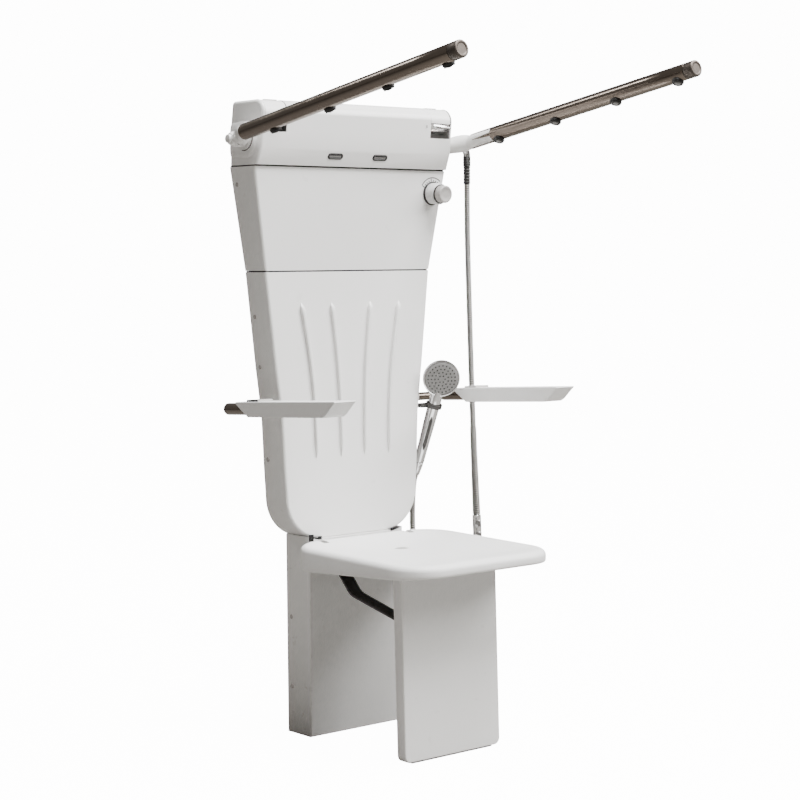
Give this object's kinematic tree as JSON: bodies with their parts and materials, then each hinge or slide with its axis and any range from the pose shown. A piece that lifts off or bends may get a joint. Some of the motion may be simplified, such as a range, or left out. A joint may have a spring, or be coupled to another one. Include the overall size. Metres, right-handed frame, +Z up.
{
  "type": "wall-mounted shower seat",
  "caption": "Wall shower panel with a fold-down seat and leg, fold-up armrests, swinging spray arms, a mixer, and a hand shower on a hose.",
  "frame": {"origin": "on the wall plane at floor level, on the part's centre line", "axes": "+X to the right when facing the part, +Y into the wall, +Z up"},
  "size_m": [0.6765, 0.7702, 1.3877],
  "materials": {
    "white_gloss": "gloss white",
    "white_satin": "satin white",
    "bronze": "satin bronze anodised",
    "bronze_cap": "satin taupe",
    "black_plastic": "satin black",
    "black_steel": "black painted",
    "chromed": "chromed plastic",
    "chrome": "polished chrome",
    "steel": "brushed",
    "sheet": "mill finish",
    "brass": "plain",
    "grey_plastic": "satin grey",
    "dark_grey": "satin dark grey",
    "rubber": "matt"
  },
  "bodies": {
    "base": {"column_cover": "white_gloss", "backrest_cover": "white_gloss", "middle_cover": "white_gloss", "head_cover": "white_gloss", "wall_plate": "sheet", "column_channel": "sheet", "back_channel": "sheet", "mixer_body": "brass", "mixer_cartridge": "brass", "shower_manifold": "steel", "manifold_bracket": "steel", "manifold_cap": "white_gloss", "outlet_elbow": "chrome", "dial_ring": "black_plastic", "rinse_outlet_left": "black_plastic", "rinse_outlet_right": "black_plastic", "shoulder_cradle_left": "dark_grey", "shoulder_cradle_right": "dark_grey", "seat_bracket": "black_steel", "seat_hinge_pin_left": "steel", "seat_hinge_pin_right": "steel", "brace_pin_left": "steel", "brace_pin_right": "steel", "handset_holder": "dark_grey", "shower_hose": "chrome", "hose_ferrule": "chrome"},
    "seat": {"seat_shell": "white_satin", "seat_base": "sheet", "drain_cap": "grey_plastic", "seat_rail_left": "black_steel", "seat_rail_right": "black_steel"},
    "leg": {"leg_panel": "white_gloss", "leg_hinge_rod": "steel", "leg_brace_bracket": "black_steel", "leg_foot_strip": "rubber"},
    "brace_left": {"brace_left": "black_steel"},
    "brace_right": {"brace_right": "black_steel"},
    "temperature_dial": {"temperature_dial": "grey_plastic"},
    "flow_dial": {"flow_dial": "grey_plastic"},
    "shoulder_nozzle_left": {"shoulder_nozzle_left": "chromed"},
    "shoulder_nozzle_right": {"shoulder_nozzle_right": "chromed"},
    "handset": {"handset_body": "chromed", "handset_spray_face": "grey_plastic", "hose_nut": "chrome"},
    "spray_arm_left": {"arm_neck_left": "white_gloss", "arm_tube_left": "bronze", "arm_cap_left": "bronze_cap", "spray_rail_left": "grey_plastic"},
    "armrest_left": {"armrest_bar_left": "bronze", "armrest_pad_left": "white_gloss", "armrest_bumper_left": "rubber"},
    "spray_arm_right": {"arm_neck_right": "white_gloss", "arm_tube_right": "bronze", "arm_cap_right": "bronze_cap", "spray_rail_right": "grey_plastic"},
    "armrest_right": {"armrest_bar_right": "bronze", "armrest_pad_right": "white_gloss", "armrest_bumper_right": "rubber"}
  },
  "joints": [
    {"name": "seat_fold", "type": "hinge", "parent": "base", "child": "seat", "pos_m": [0, -0.11, 0.398], "axis": [-1, 0, 0], "range_deg": [0, 90]},
    {"name": "leg_fold", "type": "hinge", "parent": "seat", "child": "leg", "pos_m": [0, -0.368, 0.346], "axis": [-1, 0, 0], "range_deg": [-90, 0]},
    {"name": "brace_left_turn", "type": "hinge", "parent": "base", "child": "brace_left", "pos_m": [-0.086, -0.14, 0.361], "axis": [-1, 0, 0], "range_deg": [0, 111]},
    {"name": "brace_right_turn", "type": "hinge", "parent": "base", "child": "brace_right", "pos_m": [0.086, -0.14, 0.361], "axis": [-1, 0, 0], "range_deg": [0, 111]},
    {"name": "spray_arm_left_swing", "type": "hinge", "parent": "base", "child": "spray_arm_left", "pos_m": [-0.3045, -0.055, 1.253], "axis": [-1, 0, 0], "range_deg": [-55, 79]},
    {"name": "spray_arm_right_swing", "type": "hinge", "parent": "base", "child": "spray_arm_right", "pos_m": [0.3045, -0.055, 1.253], "axis": [-1, 0, 0], "range_deg": [-55, 79]},
    {"name": "armrest_left_fold", "type": "hinge", "parent": "base", "child": "armrest_left", "pos_m": [-0.2935, -0.035, 0.7035], "axis": [-1, 0, 0], "range_deg": [0, 90]},
    {"name": "armrest_right_fold", "type": "hinge", "parent": "base", "child": "armrest_right", "pos_m": [0.2935, -0.035, 0.7035], "axis": [-1, 0, 0], "range_deg": [0, 90]},
    {"name": "temperature_turn", "type": "hinge", "parent": "base", "child": "temperature_dial", "pos_m": [0.2215, -0.07848, 1.15], "axis": [0, -0.9975, -0.0702], "range_deg": [-120, 120]},
    {"name": "flow_turn", "type": "hinge", "parent": "base", "child": "flow_dial", "pos_m": [0.2215, -0.07848, 1.15], "axis": [0, -0.9975, -0.0702], "range_deg": [0, 90]},
    {"name": "shoulder_nozzle_left_roll", "type": "hinge", "parent": "base", "child": "shoulder_nozzle_left", "pos_m": [-0.221, -0.083, 1.305], "axis": [-1, 0, 0], "range_deg": [-25, 25]},
    {"name": "shoulder_nozzle_right_roll", "type": "hinge", "parent": "base", "child": "shoulder_nozzle_right", "pos_m": [0.221, -0.083, 1.305], "axis": [-1, 0, 0], "range_deg": [-25, 25]},
    {"name": "handset_lift", "type": "slide", "parent": "base", "child": "handset", "axis": [0.0495, -0.3248, 0.9445], "range_m": [0, 0.03]}
  ],
  "couplings": [
    {"joint": "leg_fold", "follows": "seat_fold", "ratio": -1},
    {"joint": "brace_left_turn", "follows": "seat_fold", "ratio": 1.2251},
    {"joint": "brace_right_turn", "follows": "seat_fold", "ratio": 1.2251}
  ]
}
